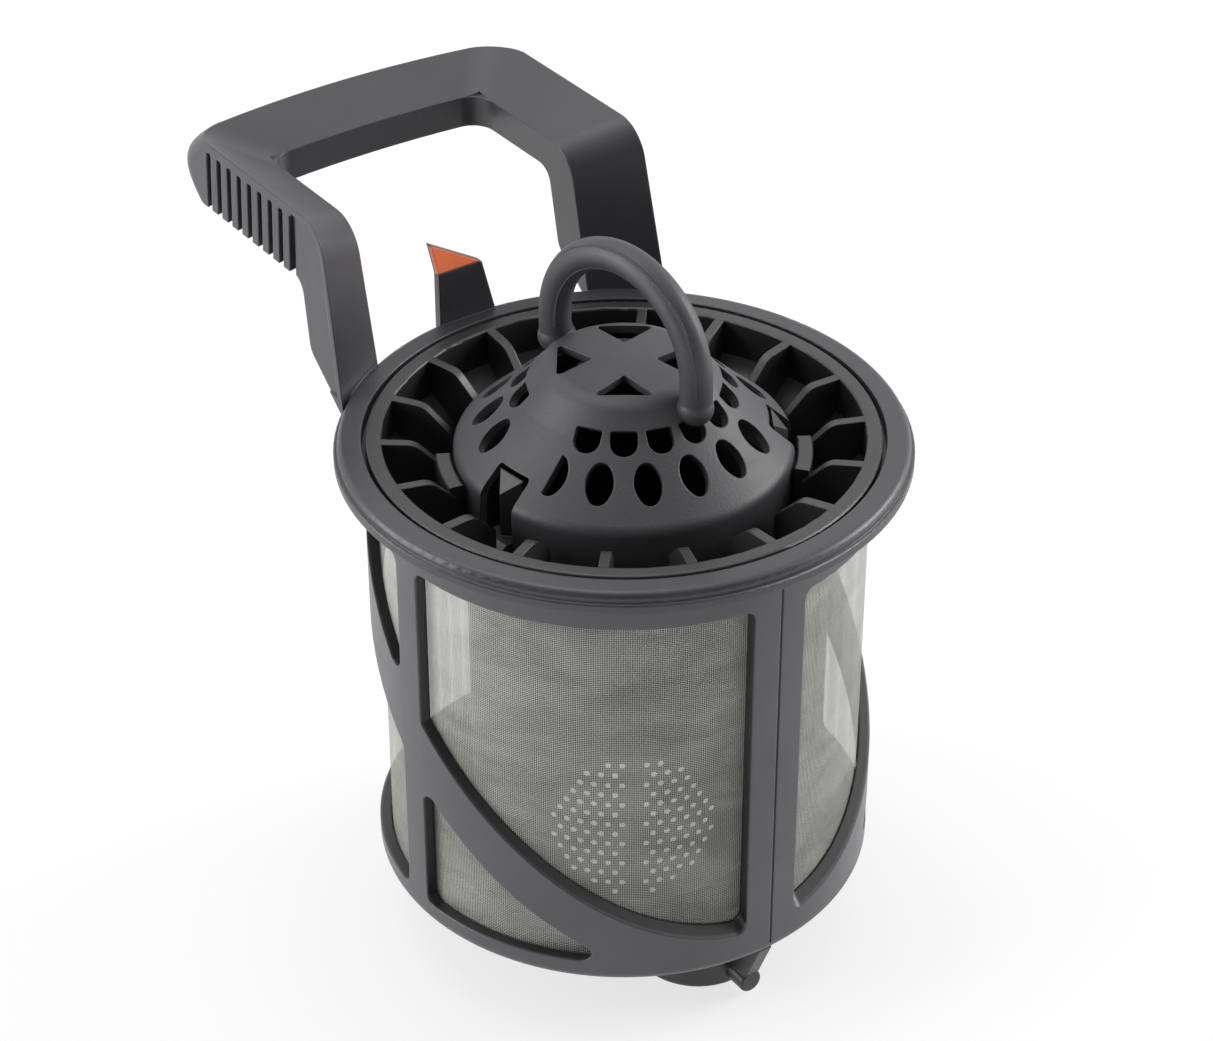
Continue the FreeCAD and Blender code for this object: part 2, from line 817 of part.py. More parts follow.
def dome_profile(offset, rim_offset):
    """Profile from crown to foot, moved in by the wall where it is the inner one."""
    rows = (
        (dome_shoulder_r, dome_shoulder_rise, dome_shoulder_round),
        (dome_upper_r, dome_upper_rise, 0),
        (dome_lower_r, dome_lower_rise, 0),
    )
    points = [(0, hub_top_z + dome_height - offset, 0)]
    for r, rise, radius in rows:
        points.append((r - 0.6 * offset, hub_top_z + rise - offset, radius))
    points.append((dome_rim_r - rim_offset, hub_top_z + dome_skirt_rise - 0.5 * rim_offset, dome_rim_round))
    points.append((dome_rim_r - rim_offset, hub_top_z, 0))
    return points


def dome_body():
    return revolved(dome_profile(0, 0) + dome_profile(dome_wall, dome_wall)[::-1])


def dome_hollow():
    """Space under the dome, which the arch's feet stay clear of."""
    return revolved(dome_profile(dome_wall, dome_wall) + [(0, hub_top_z, 0)])


def slope_prism(make_wire, row_r, rise, slope):
    """Prism square to the dome's slope; make_wire takes place(sideways, upslope)."""
    out_r, out_z = sin(slope), cos(slope)
    reach = 4 * dome_wall
    r = row_r - reach * out_r
    z = hub_top_z + rise - reach * out_z
    wire = make_wire(lambda side, up: Vector(r - up * out_z, side, z + up * out_r))
    return Part.Face(wire).extrude(Vector(2 * reach * out_r, 0, 2 * reach * out_z))


def upper_hole():
    half = 0.5 * upper_hole_width
    high = 0.5 * upper_hole_height
    slope = atan2(dome_shoulder_rise - dome_lower_rise, dome_lower_r - dome_shoulder_r)
    corners = [
        (-half, -high, 0.96 * half),
        (half, -high, 0.96 * half),
        (half, high, upper_hole_top_round),
        (-half, high, upper_hole_top_round),
    ]
    return slope_prism(lambda place: outline(corners, place), dome_upper_r, dome_upper_rise, slope)


def oval(place):
    """Oval of two end arcs and two wider side arcs that meet smoothly."""
    half = 0.5 * lower_hole_width
    high = 0.5 * lower_hole_height
    end_r = lower_hole_end_share * lower_hole_width
    end_up = high - end_r
    side_r = (half ** 2 + end_up ** 2 - end_r ** 2) / (2 * (half - end_r))
    lean = atan2(end_up, side_r - half)
    join = (end_r * cos(lean), end_up + end_r * sin(lean))
    right = Part.Arc(place(join[0], -join[1]), place(half, 0), place(join[0], join[1]))
    top = Part.Arc(place(join[0], join[1]), place(0, high), place(-join[0], join[1]))
    left = Part.Arc(place(-join[0], join[1]), place(-half, 0), place(-join[0], -join[1]))
    foot_arc = Part.Arc(place(-join[0], -join[1]), place(0, -high), place(join[0], -join[1]))
    return Part.Wire([arc.toShape() for arc in (right, top, left, foot_arc)])


def half_hole_side(place):
    """What is kept of the oval beside a notch: its right part, with a slanting edge."""
    high = lower_hole_height
    lean = half_hole_slant * high
    corners = [
        (-half_hole_cut - lean, -high, 0),
        (high, -high, 0),
        (high, high, 0),
        (-half_hole_cut + lean, high, 0),
    ]
    return outline(corners, place)


def lower_hole(make_wire):
    slope = atan2(dome_upper_rise - dome_skirt_rise, dome_rim_r - dome_upper_r)
    return slope_prism(make_wire, dome_lower_r, dome_lower_rise, slope)


def tip_window():
    """Three-cornered window in the crown with one corner towards the middle."""
    far_r = dome_shoulder_r - tip_window_land
    half = far_r * tan(tip_window_half_angle * pi / 180)
    low_z = hub_top_z + dome_lower_rise
    wire = outline([
        (tip_window_apex_share * far_r, 0, tip_window_round),
        (far_r, -half, tip_window_round),
        (far_r, half, tip_window_round),
    ], lambda x, y: Vector(x, y, low_z))
    return Part.Face(wire).extrude(Vector(0, 0, dome_height))


def clip_notch():
    """Notch through the dome's slope and skirt for one clip hook."""
    half = 0.5 * notch_width
    top_z = hub_top_z + notch_rise
    inner_r = dome_upper_r
    wire = outline([
        (-half, hub_top_z - root, 0),
        (half, hub_top_z - root, 0),
        (half - notch_taper, top_z, notch_round),
        (-half + notch_taper, top_z, notch_round),
    ], lambda y, z: Vector(inner_r, y, z))
    return Part.Face(wire).extrude(Vector(dome_rim_r + root - inner_r, 0, 0))


def dome_openings():
    cutters = []
    upper = upper_hole()
    for azimuth in upper_hole_azimuths:
        cutters.append(z_turned(upper, azimuth))
    whole = lower_hole(oval)
    for azimuth in lower_hole_azimuths:
        cutters.append(z_turned(whole, azimuth))
    cutters.append(z_turned(whole.common(lower_hole(half_hole_side)), half_hole_azimuth))
    window = tip_window()
    for quarter in range(4):
        cutters.append(z_turned(window, 90 * quarter))
    notch = clip_notch()
    for azimuth in clip_azimuths:
        cutters.append(z_turned(notch, azimuth))
    return cutters


def arch():
    """Round bar bent over the crown, with a ball at each end that sinks into the dome."""
    span_r = arch_share * dome_rim_r
    foot_z = hub_top_z + arch_foot_rise
    centre_z = foot_z + arch_leg_length
    right = Vector(span_r, 0, centre_z)
    left = Vector(-span_r, 0, centre_z)
    crown = Vector(0, 0, centre_z + span_r)
    path = Part.Wire([
        Part.LineSegment(Vector(span_r, 0, foot_z), right).toShape(),
        Part.Arc(right, crown, left).toShape(),
        Part.LineSegment(left, Vector(-span_r, 0, foot_z)).toShape(),
    ])
    section = Part.Wire(Part.Circle(Vector(span_r, 0, foot_z), Vector(0, 0, 1), 0.5 * arch_section).toShape())
    bar = path.makePipeShell([section], True, False)
    balls = [Part.makeSphere(arch_foot_r, Vector(side * span_r, 0, foot_z)) for side in (-1, 1)]
    return fused([bar] + balls)


def dome_strainer():
    shell = dome_body().cut(dome_openings())
    grip = z_turned(arch(), arch_azimuth).cut(dome_hollow())
    return z_turned(fused([shell, grip]), dome_turn)


nodes = {
    "collar": collar,
    "lock_marker": lock_marker,
    "cage_frame": cage_frame,
    "mesh_sleeve": mesh_sleeve,
    "rib_ring": rib_ring,
    "inner_cup": inner_cup,
    "dome_strainer": dome_strainer,
}

os.makedirs("parts", exist_ok=True)
for name, build in nodes.items():
    shape = build()
    shape.exportStep(f"parts/{name}.step")
    print(name, len(shape.Solids), "solid(s)", round(shape.Volume / 1000, 2), "cm3", shape.isValid())
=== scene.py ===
import bpy
import bmesh
import math
from mathutils import Matrix, Vector


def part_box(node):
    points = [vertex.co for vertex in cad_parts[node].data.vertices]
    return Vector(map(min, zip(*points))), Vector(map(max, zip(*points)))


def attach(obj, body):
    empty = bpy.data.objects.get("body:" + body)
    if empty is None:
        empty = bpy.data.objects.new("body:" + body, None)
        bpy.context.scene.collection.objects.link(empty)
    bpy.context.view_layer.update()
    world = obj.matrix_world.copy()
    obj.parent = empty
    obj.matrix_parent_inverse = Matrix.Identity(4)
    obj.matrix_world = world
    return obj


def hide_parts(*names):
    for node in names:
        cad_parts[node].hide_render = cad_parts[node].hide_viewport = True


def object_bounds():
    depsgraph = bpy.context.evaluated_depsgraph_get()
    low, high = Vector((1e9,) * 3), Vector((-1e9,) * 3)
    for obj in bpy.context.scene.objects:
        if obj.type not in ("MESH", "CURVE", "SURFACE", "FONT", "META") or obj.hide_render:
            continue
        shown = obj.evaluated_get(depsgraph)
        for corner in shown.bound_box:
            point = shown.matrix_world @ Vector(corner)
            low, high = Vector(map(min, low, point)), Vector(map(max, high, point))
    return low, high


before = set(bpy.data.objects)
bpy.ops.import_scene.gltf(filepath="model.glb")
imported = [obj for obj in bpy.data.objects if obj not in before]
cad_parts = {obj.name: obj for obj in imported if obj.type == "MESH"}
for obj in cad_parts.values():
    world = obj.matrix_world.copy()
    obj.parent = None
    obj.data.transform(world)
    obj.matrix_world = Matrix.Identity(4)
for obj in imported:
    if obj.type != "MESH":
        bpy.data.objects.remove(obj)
cadLow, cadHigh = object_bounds()
scene = bpy.context.scene
print("frame loaded")


# helpers for materials and pieces

def addNode(tree, kind, place, settings={}, values={}):
    node = tree.nodes.new(kind)
    node.location = place
    for key, value in settings.items():
        setattr(node, key, value)
    for key, value in values.items():
        node.inputs[key].default_value = value
    return node


# sources are sockets or plain numbers
def mathNode(tree, operation, place, *sources):
    node = addNode(tree, "ShaderNodeMath", place, {"operation": operation})
    for index, source in enumerate(sources):
        if isinstance(source, (int, float)):
            node.inputs[index].default_value = source
        else:
            tree.links.new(source, node.inputs[index])
    return node.outputs[0]


# both ranges are pairs of ends
def rangeNode(tree, place, source, fromRange, toRange, smooth=False):
    curve = {"interpolation_type": "SMOOTHSTEP" if smooth else "LINEAR"}
    ends = {
        "From Min": fromRange[0],
        "From Max": fromRange[1],
        "To Min": toRange[0],
        "To Max": toRange[1],
    }
    node = addNode(tree, "ShaderNodeMapRange", place, curve, ends)
    tree.links.new(source, node.inputs["Value"])
    return node.outputs["Result"]


# a fixed colour made lighter or darker by a value, into the shader's base colour
def tintNode(tree, place, colour, level, shader):
    tint = addNode(tree, "ShaderNodeVectorMath", place, {"operation": "SCALE"}, {0: colour})
    tree.links.new(level, tint.inputs["Scale"])
    tree.links.new(tint.outputs["Vector"], shader.inputs["Base Color"])


def newGroup(name, inputs, outputs):
    group = bpy.data.node_groups.new(name, "ShaderNodeTree")
    for label, kind, value in inputs:
        socket = group.interface.new_socket(name=label, in_out="INPUT", socket_type=kind)
        socket.default_value = value
    for label in outputs:
        group.interface.new_socket(name=label, in_out="OUTPUT", socket_type="NodeSocketFloat")
    inside = addNode(group, "NodeGroupInput", (-1500, 0))
    outside = addNode(group, "NodeGroupOutput", (700, 0))
    return group, inside, outside


def newMaterial(name):
    material = bpy.data.materials.new(name)
    material.use_nodes = True
    tree = material.node_tree
    return material, tree, tree.nodes["Principled BSDF"]


# the finished bmesh becomes an object at the origin
def addPiece(name, shape, material):
    mesh = bpy.data.meshes.new(name)
    shape.to_mesh(mesh)
    shape.free()
    mesh.materials.append(material)
    piece = bpy.data.objects.new(name, mesh)
    scene.collection.objects.link(piece)
    return piece


# a piece of the filter: it moves with a body and is listed under a material slot
def addFilterPiece(name, shape, material, body):
    bmesh.ops.recalc_face_normals(shape, faces=shape.faces[:])
    for face in shape.faces:
        face.smooth = True
    piece = addPiece(name, shape, material)
    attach(piece, body)
    return piece


# a sheet from a straight line that is spun about the filter's axis
def spinLine(first, second, steps, degrees):
    shape = bmesh.new()
    start = shape.verts.new(first)
    end = shape.verts.new(second)
    line = shape.edges.new((start, end))
    bmesh.ops.spin(shape, geom=[start, end, line], cent=(0, 0, 0), axis=(0, 0, 1), steps=steps,
                   angle=math.radians(degrees), use_merge=degrees == 360)
    return shape


# camera and light

camera = {
    "place": (-0.302284, -0.423787, 0.331156),
    "turn": (56.2571, 0.0177, -35.1456),    # degrees
    "lens": 96.467,                         # mm, as is the sensor's width
    "sensorWidth": 36.0,
    "near": 0.01,
    "far": 50.0,
}


def setCamera():
    data = bpy.data.cameras.new("photoCamera")
    data.lens = camera["lens"]
    data.sensor_width = camera["sensorWidth"]
    data.clip_start = camera["near"]
    data.clip_end = camera["far"]
    view = bpy.data.objects.new("photoCamera", data)
    view.location = camera["place"]
    view.rotation_euler = [math.radians(angle) for angle in camera["turn"]]
    scene.collection.objects.link(view)
    scene.camera = view


studio = {
    "brightSide": (0.467, 0.665, 0.583),    # the room is light behind and above
    "fade": (-0.3, 0.6),                    # from dim to bright, as cosines of the angle to that side
    "dim": 0.06,
    "bright": 1.0,
    "aim": (0, 0, 0),
    "lamps": {
        "leftSoft": {"place": (-1.25, 0.55, 0.38), "size": 1.0, "power": 15.0},
        "rightSoft": {"place": (1.15, -0.4, 0.45), "size": 0.8, "power": 12.0},
        "topSoft": {"place": (-0.1, 0.45, 1.5), "size": 1.2, "power": 5.5},
    },
}


def setRoom():
    world = bpy.data.worlds.new("softRoom")
    world.use_nodes = True
    scene.world = world
    tree = world.node_tree
    sky = tree.nodes["Background"]
    sky.inputs["Color"].default_value = (1, 1, 1, 1)
    spot = addNode(tree, "ShaderNodeTexCoord", (-1100, -100))
    side = addNode(tree, "ShaderNodeVectorMath", (-900, -100), {"operation": "DOT_PRODUCT"},
                   {1: studio["brightSide"]})
    tree.links.new(spot.outputs["Generated"], side.inputs[0])
    levels = (studio["dim"], studio["bright"])
    room = rangeNode(tree, (-700, -100), side.outputs["Value"], studio["fade"], levels, True)
    tree.links.new(room, sky.inputs["Strength"])


def setLamps():
    for name, lamp in studio["lamps"].items():
        data = bpy.data.lights.new(name, "AREA")
        data.shape = "DISK"
        data.size = lamp["size"]
        data.energy = lamp["power"]
        light = bpy.data.objects.new(name, data)
        light.location = lamp["place"]
        towards = Vector(studio["aim"]) - Vector(lamp["place"])
        light.rotation_euler = towards.to_track_quat("-Z", "Y").to_euler()
        scene.collection.objects.link(light)


# 1 for rays that show the background: straight, mirrored or let through
def backgroundRay(tree, place):
    left, up = place
    path = addNode(tree, "ShaderNodeLightPath", place)
    straight = path.outputs["Is Camera Ray"]
    mirrored = path.outputs["Is Glossy Ray"]
    letThrough = path.outputs["Is Transmission Ray"]
    either = mathNode(tree, "MAXIMUM", (left + 200, up), straight, mirrored)
    return mathNode(tree, "MAXIMUM", (left + 400, up), either, letThrough)


floor = {
    "size": 6.0,
    "colour": (0.88, 0.88, 0.88),
    "roughness": 0.9,
    "gloss": 0.0,
    "clear": 0.72,      # share of plain white in it; the rest keeps the filter's shadow
}


def makeFloor():
    material, tree, shader = newMaterial("paleFloor")
    shader.inputs["Base Color"].default_value = (*floor["colour"], 1)
    shader.inputs["Roughness"].default_value = floor["roughness"]
    shader.inputs["Specular IOR Level"].default_value = floor["gloss"]
    white = addNode(tree, "ShaderNodeEmission", (-200, -300))
    share = mathNode(tree, "MULTIPLY", (0, 300), backgroundRay(tree, (-600, 300)), floor["clear"])
    mix = addNode(tree, "ShaderNodeMixShader", (300, 100))
    tree.links.new(share, mix.inputs[0])
    tree.links.new(shader.outputs[0], mix.inputs[1])
    tree.links.new(white.outputs[0], mix.inputs[2])
    tree.links.new(mix.outputs[0], tree.nodes["Material Output"].inputs["Surface"])
    shape = bmesh.new()
    bmesh.ops.create_grid(shape, x_segments=1, y_segments=1, size=floor["size"])
    bmesh.ops.translate(shape, verts=shape.verts[:], vec=(0, 0, cadLow.z))
    addPiece("paleFloor", shape, material)


scene.view_settings.view_transform = "Standard"
setCamera()
setRoom()
setLamps()
makeFloor()
print("camera, light and floor set")


# effects that the materials share

mouldGrain = {
    "grainSize": 0.0004,
    "cloudSize": 0.02,
    "scuffFineness": 9.0,           # times finer than the clouds
    "rubFrom": (0.52, 0.74),        # noise levels at which rubbing starts and is full
    "scuffFrom": (0.64, 0.72),
    "fine": {"Detail": 2.0, "Roughness": 0.6},
    "cloud": {"Detail": 3.0, "Roughness": 0.5},
    "rub": {"Detail": 5.0, "Roughness": 0.7, "Distortion": 0.8},
    "scuff": {"Detail": 4.0, "Roughness": 0.65, "Distortion": 2.2},
}


# fine spark-eroded grain, slow clouds in the colour, rubbed patches and short scuffs
def makeGrainGroup():
    inputs = [
        ("Grain Size", "NodeSocketFloat", mouldGrain["grainSize"]),
        ("Cloud Size", "NodeSocketFloat", mouldGrain["cloudSize"]),
    ]
    group, inside, outside = newGroup("mouldGrain", inputs, ["Height", "Tone", "Rub", "Scuff"])
    spot = addNode(group, "ShaderNodeTexCoord", (-1500, 300))
    fineScale = mathNode(group, "DIVIDE", (-1250, 150), 1.0, inside.outputs["Grain Size"])
    cloudScale = mathNode(group, "DIVIDE", (-1250, -50), 1.0, inside.outputs["Cloud Size"])
    scuffScale = mathNode(group, "MULTIPLY", (-1250, -250), cloudScale, mouldGrain["scuffFineness"])
    scales = {"fine": fineScale, "cloud": cloudScale, "rub": cloudScale, "scuff": scuffScale}
    noise = {}
    for row, (name, scale) in enumerate(scales.items()):
        node = addNode(group, "ShaderNodeTexNoise", (-900, 350 - 300 * row), {}, mouldGrain[name])
        group.links.new(spot.outputs["Object"], node.inputs["Vector"])
        group.links.new(scale, node.inputs["Scale"])
        noise[name] = node.outputs["Fac"]
    rubbed = rangeNode(group, (-600, -250), noise["rub"], mouldGrain["rubFrom"], (0, 1))
    scuffed = rangeNode(group, (-600, -550), noise["scuff"], mouldGrain["scuffFrom"], (0, 1))
    group.links.new(noise["fine"], outside.inputs["Height"])
    group.links.new(noise["cloud"], outside.inputs["Tone"])
    group.links.new(rubbed, outside.inputs["Rub"])
    group.links.new(scuffed, outside.inputs["Scuff"])
    return group


softEdge = {"gain": 6.0}


# edges: where the softened normal leaves the face's own
def makeEdgeGroup():
    inputs = [
        ("Soft Normal", "NodeSocketVector", (0, 0, 1)),
        ("Gain", "NodeSocketFloat", softEdge["gain"]),
    ]
    group, inside, outside = newGroup("softEdge", inputs, ["Edge"])
    own = addNode(group, "ShaderNodeNewGeometry", (-1500, 300))
    agree = addNode(group, "ShaderNodeVectorMath", (-1100, 200), {"operation": "DOT_PRODUCT"})
    group.links.new(own.outputs["Normal"], agree.inputs[0])
    group.links.new(inside.outputs["Soft Normal"], agree.inputs[1])
    away = mathNode(group, "SUBTRACT", (-800, 200), 1.0, agree.outputs["Value"])
    strong = mathNode(group, "MULTIPLY", (-500, 200), away, inside.outputs["Gain"])
    edge = mathNode(group, "MINIMUM", (-200, 200), strong, 1.0)
    group.links.new(edge, outside.inputs["Edge"])
    return group


wireWeave = {
    "radius": 0.047,
    "pitch": 0.0005,
    "wire": 0.4,                        # a wire's width as a share of the pitch
    "bend": 0.5,                        # how far a wire rises and dips, over and under the others
    "patchStretch": (0.35, 0.35, 1.0),  # the cloudy patches lie along the cloth's turn
    "patch": {"Scale": 130.0, "Detail": 4.0, "Roughness": 0.6, "Distortion": 0.7},
    "patchStrength": 3.0,
}


# wires of one direction: where they cover, and how high they stand there
def makeWires(group, main, other, halfWire, bend, y):
    step = mathNode(group, "FLOOR", (-700, y), main)
    part = mathNode(group, "SUBTRACT", (-550, y), main, step)
    fromMiddle = mathNode(group, "SUBTRACT", (-400, y), part, 0.5)
    off = mathNode(group, "ABSOLUTE", (-250, y), fromMiddle)
    share = mathNode(group, "DIVIDE", (-100, y), off, halfWire)
    cover = mathNode(group, "LESS_THAN", (50, y), share, 1.0)
    square = mathNode(group, "MULTIPLY", (-100, y - 80), share, share)
    bow = mathNode(group, "SUBTRACT", (50, y - 80), 1.0, square)
    crossing = mathNode(group, "ADD", (-550, y - 160), other, step)
    turn = mathNode(group, "MULTIPLY", (-400, y - 160), crossing, math.pi)
    wave = mathNode(group, "SINE", (-250, y - 160), turn)
    lift = mathNode(group, "MULTIPLY", (-100, y - 160), wave, bend)
    crest = mathNode(group, "ADD", (200, y - 80), bow, lift)
    return cover, mathNode(group, "MULTIPLY", (350, y), cover, crest)


# plain weave round an upright cylinder: cover of the wires, their height and their tone, which is that
# height as painted shade and highlight plus random patches
def makeWeaveGroup():
    inputs = [
        ("Radius", "NodeSocketFloat", wireWeave["radius"]),
        ("Pitch", "NodeSocketFloat", wireWeave["pitch"]),
        ("Wire", "NodeSocketFloat", wireWeave["wire"]),
    ]
    group, inside, outside = newGroup("wireWeave", inputs, ["Cover", "Height", "Tone"])
    spot = addNode(group, "ShaderNodeTexCoord", (-1500, 300))
    split = addNode(group, "ShaderNodeSeparateXYZ", (-1300, 300))
    group.links.new(spot.outputs["Object"], split.inputs[0])
    angle = mathNode(group, "ARCTAN2", (-1100, 400), split.outputs["Y"], split.outputs["X"])
    pitch = inside.outputs["Pitch"]
    wiresRound = mathNode(group, "DIVIDE", (-1100, 200), inside.outputs["Radius"], pitch)
    across = mathNode(group, "MULTIPLY", (-900, 400), angle, wiresRound)
    along = mathNode(group, "DIVIDE", (-900, 200), split.outputs["Z"], pitch)
    halfWire = mathNode(group, "MULTIPLY", (-900, 0), inside.outputs["Wire"], 0.5)
    bend = wireWeave["bend"]
    uprightCover, uprightHeight = makeWires(group, across, along, halfWire, bend, 300)
    levelCover, levelHeight = makeWires(group, along, across, halfWire, -bend, -200)
    cover = mathNode(group, "MAXIMUM", (500, 200), uprightCover, levelCover)
    height = mathNode(group, "MAXIMUM", (500, 0), uprightHeight, levelHeight)
    lie = addNode(group, "ShaderNodeMapping", (-1150, -700), {}, {"Scale": wireWeave["patchStretch"]})
    patch = addNode(group, "ShaderNodeTexNoise", (-900, -700), {}, wireWeave["patch"])
    group.links.new(spot.outputs["Object"], lie.inputs["Vector"])
    group.links.new(lie.outputs["Vector"], patch.inputs["Vector"])
    centred = mathNode(group, "SUBTRACT", (200, -600), patch.outputs["Fac"], 0.5)
    slow = mathNode(group, "MULTIPLY", (350, -600), centred, wireWeave["patchStrength"])
    # painted shade and highlight from the wires' height, plus patches that differ at random
    tone = mathNode(group, "ADD", (500, -300), height, slow)
    group.links.new(cover, outside.inputs["Cover"])
    group.links.new(height, outside.inputs["Height"])
    group.links.new(tone, outside.inputs["Tone"])
    return group


grainGroup = makeGrainGroup()
edgeGroup = makeEdgeGroup()
weaveGroup = makeWeaveGroup()
print("shared effects made")


# moulded plastics, one finish for each CAD node; sizes in metres

plastics = {
    "collar": {
        "name": "housingPlastic",
        "colour": (0.042, 0.042, 0.047),
        "roughness": 0.36,
        "gloss": 0.6,
        "edgeRadius": 0.0005,
        "grainSize": 0.0005,
        "grainDepth": 0.00003,
        "cloud": 0.12,          # how far the colour drifts, up and down
        "edgeWearAndSheen": 0.35,
    },
    "cage_frame": {
        "name": "cagePlastic",
        "colour": (0.055, 0.055, 0.062),
        "roughness": 0.36,
        "gloss": 0.7,
        "edgeRadius": 0.0005,
        "grainSize": 0.0005,
        "grainDepth": 0.00003,
        "cloud": 0.12,
        "edgeWearAndSheen": 0.35,
        "recessShade": {             # painted shade: the windows' side walls are darker than the outside
            "radii": (0.0488, 0.0493),
            "dark": 0.15,
        },
    },
    "rib_ring": {
        "name": "insertPlastic",
        "colour": (0.016, 0.016, 0.017),
        "roughness": 0.42,
        "gloss": 0.8,
        "edgeRadius": 0.0004,
        "grainSize": 0.0005,
        "grainDepth": 0.00002,
        "cloud": 0.1,
        "edgeWearAndSheen": 0.3,
    },
    "inner_cup": {
        "name": "cupPlastic",
        "colour": (0.02, 0.02, 0.021),
        "roughness": 0.5,
        "gloss": 0.5,
        "edgeRadius": 0.0002,
        "grainSize": 0.0003,
        "grainDepth": 0.00001,
        "cloud": 0.15,
        "edgeWearAndSheen": 0.2,
    },
    "dome_strainer": {
        "name": "domePlastic",
        "colour": (0.046, 0.046, 0.051),
        "roughness": 0.5,
        "gloss": 0.6,
        "edgeRadius": 0.0004,
        "grainSize": 0.0006,
        "grainDepth": 0.00005,
        "cloud": 0.14,
        "edgeWearAndSheen": 0.3,
        "ridges": {             # two parting ridges run along the arch
            "across": (0.9863, 0.165, 0),   # square to the arch's plane
            "offset": 0.0021,               # from that plane
            "width": 0.00025,
            "rise": 0.0003,
            "lowest": 0.0206,
        },
    },
    "lock_marker": {
        "name": "markerPlastic",
        "colour": (0.9, 0.18, 0.06),
        "roughness": 0.38,
        "gloss": 0.5,
        "edgeRadius": 0.0003,
        "grainSize": 0.0004,
        "grainDepth": 0.000006,
        "cloud": 0.1,
        "edgeWearAndSheen": 0.2,
    },
}

# what wear does on all of them
plasticWear = {
    "cloudFrom": (0.3, 0.7),    # noise levels that give the darkest and the palest clouds
    "scuffTone": 0.25,          # scuffs are paler
    "rubDull": 0.1,             # rubbed patches are rougher
    "edgePolish": 0.2,          # worn edges are smoother
    "bevelSamples": 6,
}


# painted shade: darkens the tone between two radii from the filter's axis
def paintRecessShade(tree, tone, recessShade):
    spot = addNode(tree, "ShaderNodeTexCoord", (-1300, 600))
    flat = addNode(tree, "ShaderNodeVectorMath", (-1100, 600), {"operation": "MULTIPLY"}, {1: (1, 1, 0)})
    reach = addNode(tree, "ShaderNodeVectorMath", (-900, 600), {"operation": "LENGTH"})
    tree.links.new(spot.outputs["Object"], flat.inputs[0])
    tree.links.new(flat.outputs["Vector"], reach.inputs[0])
    levels = (recessShade["dark"], 1)
    shade = rangeNode(tree, (-700, 600), reach.outputs["Value"], recessShade["radii"], levels, True)
    return mathNode(tree, "MULTIPLY", (-450, 400), tone, shade)


# adds the two ridges to the grain's height
def addRidges(tree, height, ridges):
    spot = addNode(tree, "ShaderNodeTexCoord", (-1700, -700))
    split = addNode(tree, "ShaderNodeSeparateXYZ", (-1500, -900))
    side = addNode(tree, "ShaderNodeVectorMath", (-1500, -700), {"operation": "DOT_PRODUCT"},
                   {1: ridges["across"]})
    tree.links.new(spot.outputs["Object"], side.inputs[0])
    tree.links.new(spot.outputs["Object"], split.inputs[0])
    away = mathNode(tree, "ABSOLUTE", (-1300, -700), side.outputs["Value"])
    fromRidge = mathNode(tree, "SUBTRACT", (-1150, -700), away, ridges["offset"])
    gap = mathNode(tree, "ABSOLUTE", (-1000, -700), fromRidge)
    line = rangeNode(tree, (-850, -700), gap, (0, ridges["width"]), (ridges["rise"], 0), True)
    onArch = mathNode(tree, "GREATER_THAN", (-850, -900), split.outputs["Z"], ridges["lowest"])
    ridge = mathNode(tree, "MULTIPLY", (-650, -700), line, onArch)
    return mathNode(tree, "ADD", (-450, -500), height, ridge)


def makePlastic(finish):
    material, tree, shader = newMaterial(finish["name"])
    shader.inputs["Specular IOR Level"].default_value = finish["gloss"]
    grain = addNode(tree, "ShaderNodeGroup", (-1300, 0), {"node_tree": grainGroup})
    grain.inputs["Grain Size"].default_value = finish["grainSize"]
    bevel = addNode(tree, "ShaderNodeBevel", (-1300, -400), {"samples": plasticWear["bevelSamples"]},
                    {"Radius": finish["edgeRadius"]})
    edge = addNode(tree, "ShaderNodeGroup", (-1050, -300), {"node_tree": edgeGroup})
    tree.links.new(bevel.outputs["Normal"], edge.inputs["Soft Normal"])

    # colour: clouds, paler edges (wear and a painted highlight) and scuffs
    drift = (1.0 - finish["cloud"], 1.0 + finish["cloud"])
    cloud = rangeNode(tree, (-1000, 250), grain.outputs["Tone"], plasticWear["cloudFrom"], drift)
    # edges paler: partly wear, partly a painted highlight where rounded edges catch light
    wornAndSheen = mathNode(tree, "MULTIPLY", (-800, 100), edge.outputs["Edge"], finish["edgeWearAndSheen"])
    scuffs = mathNode(tree, "MULTIPLY", (-800, -50), grain.outputs["Scuff"], plasticWear["scuffTone"])
    cloudAndWear = mathNode(tree, "ADD", (-620, 200), cloud, wornAndSheen)
    tone = mathNode(tree, "ADD", (-450, 200), cloudAndWear, scuffs)
    # painted shade in the windows' recesses
    if "recessShade" in finish:
        tone = paintRecessShade(tree, tone, finish["recessShade"])
    tintNode(tree, (-250, 250), finish["colour"], tone, shader)

    # roughness: duller where rubbed, smoother at worn edges
    rough = (finish["roughness"], finish["roughness"] + plasticWear["rubDull"])
    dull = rangeNode(tree, (-600, -100), grain.outputs["Rub"], (0, 1), rough)
    polish = mathNode(tree, "MULTIPLY", (-450, -150), wornAndSheen, plasticWear["edgePolish"])
    roughness = mathNode(tree, "SUBTRACT", (-300, 0), dull, polish)
    tree.links.new(roughness, shader.inputs["Roughness"])

    # relief: the height is in metres
    height = mathNode(tree, "MULTIPLY", (-800, -300), grain.outputs["Height"], finish["grainDepth"])
    if "ridges" in finish:
        height = addRidges(tree, height, finish["ridges"])
    bump = addNode(tree, "ShaderNodeBump", (-300, -300), {}, {"Strength": 1.0, "Distance": 1.0})
    tree.links.new(height, bump.inputs["Height"])
    tree.links.new(bevel.outputs["Normal"], bump.inputs["Normal"])
    tree.links.new(bump.outputs["Normal"], shader.inputs["Normal"])
    return material


for node, finish in plastics.items():
    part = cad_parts[node]
    part.data.materials.clear()
    part.data.materials.append(makePlastic(finish))
print("plastics made")


# woven steel

